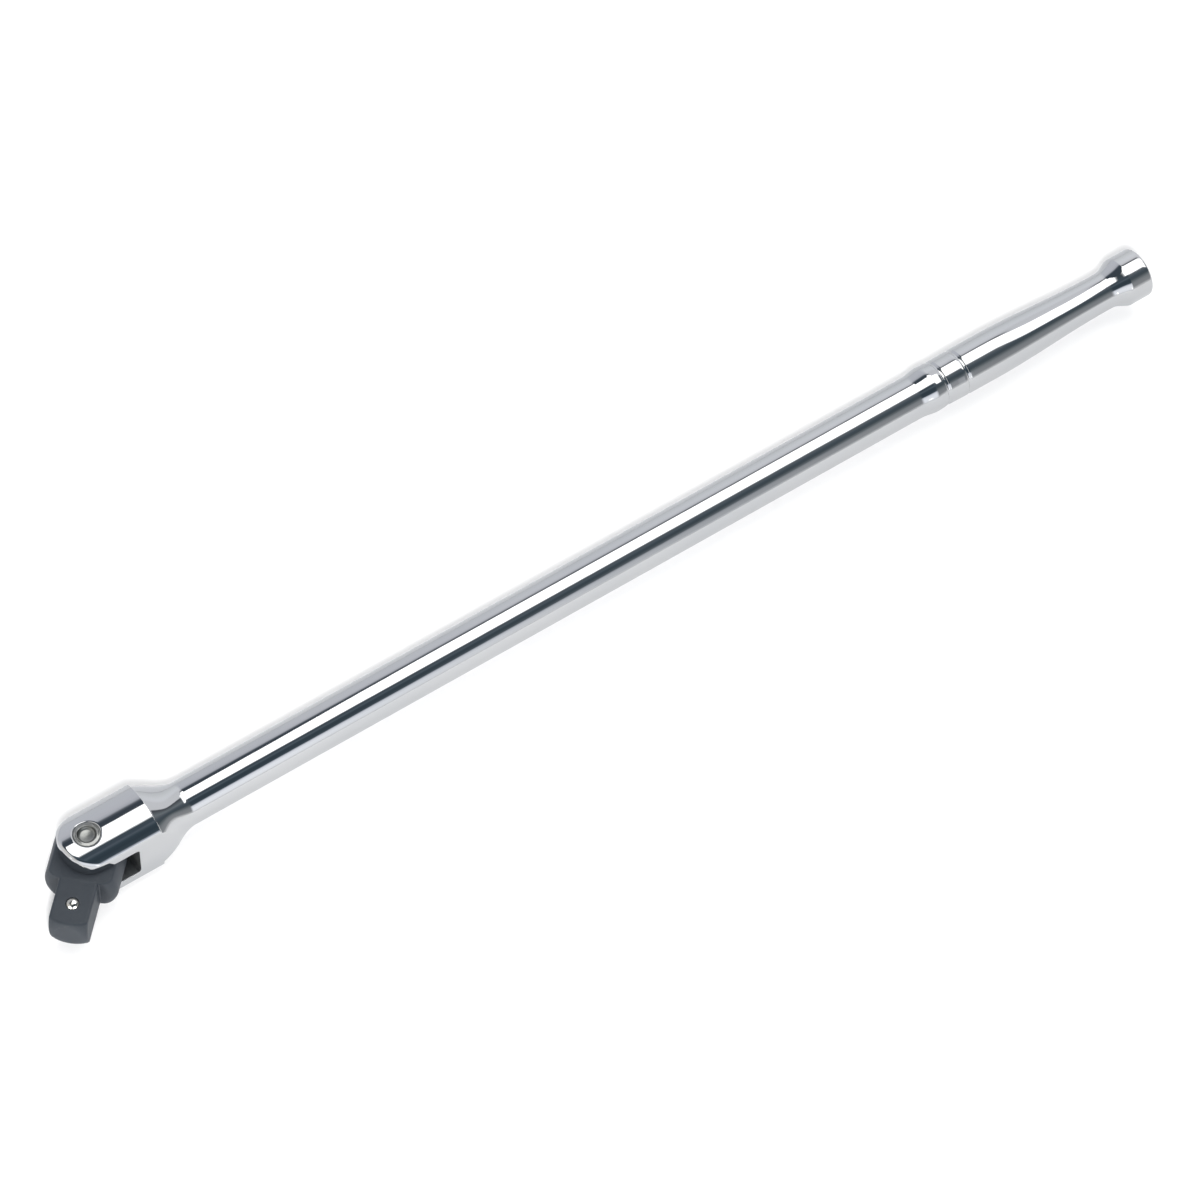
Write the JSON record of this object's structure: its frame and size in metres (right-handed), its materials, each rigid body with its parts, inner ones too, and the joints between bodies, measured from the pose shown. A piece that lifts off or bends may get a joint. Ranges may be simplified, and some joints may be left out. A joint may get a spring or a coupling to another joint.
{
  "type": "breaker bar",
  "caption": "Long chromed steel breaker bar with a forked end, a swinging dark square drive head with a sprung ball, and a waisted grip ending in a knob.",
  "frame": {"origin": "on the hinge pin's axis where it crosses the bar's axis, midway between the two ears", "axes": "+Z along the hinge pin, out of the side on which the detent ball stands; +X along the bar from the hinge to the free end of the handle; +Y completes a right-handed frame, and the drive head is bent towards -Y at rest"},
  "size_m": [0.445, 0.037, 0.0292],
  "materials": {
    "chromed_steel": "mirror polished chrome plate over forged steel",
    "phosphated_steel": "fine-grained black phosphate over hardened steel",
    "pin_steel": "satin ground steel",
    "ball_steel": "polished bearing steel",
    "spring_steel": "drawn spring wire, lightly oiled"
  },
  "bodies": {
    "bar": {"handle_bar": "chromed_steel", "hinge_pin": "pin_steel", "friction_spring": "spring_steel"},
    "head": {"drive_head": "phosphated_steel", "detent_spring": "spring_steel"},
    "ball": {"detent_ball": "ball_steel"},
    "plunger": {"friction_plunger": "pin_steel"}
  },
  "joints": [
    {"name": "head_hinge", "type": "hinge", "parent": "bar", "child": "head", "pos_m": [0, 0, 0], "axis": [0, 0, 1], "range_deg": [-135.5, 44.5]},
    {"name": "ball_press", "type": "slide", "parent": "head", "child": "ball", "axis": [0, 0, -1], "range_m": [0, 0.0011], "stiffness_N_per_m": 4000, "springref_m": -0.001, "deforming": ["detent_spring"]},
    {"name": "plunger_press", "type": "slide", "parent": "bar", "child": "plunger", "axis": [1, 0, 0], "range_m": [0, 0.0012], "stiffness_N_per_m": 6000, "springref_m": -0.002, "deforming": ["friction_spring"]}
  ]
}
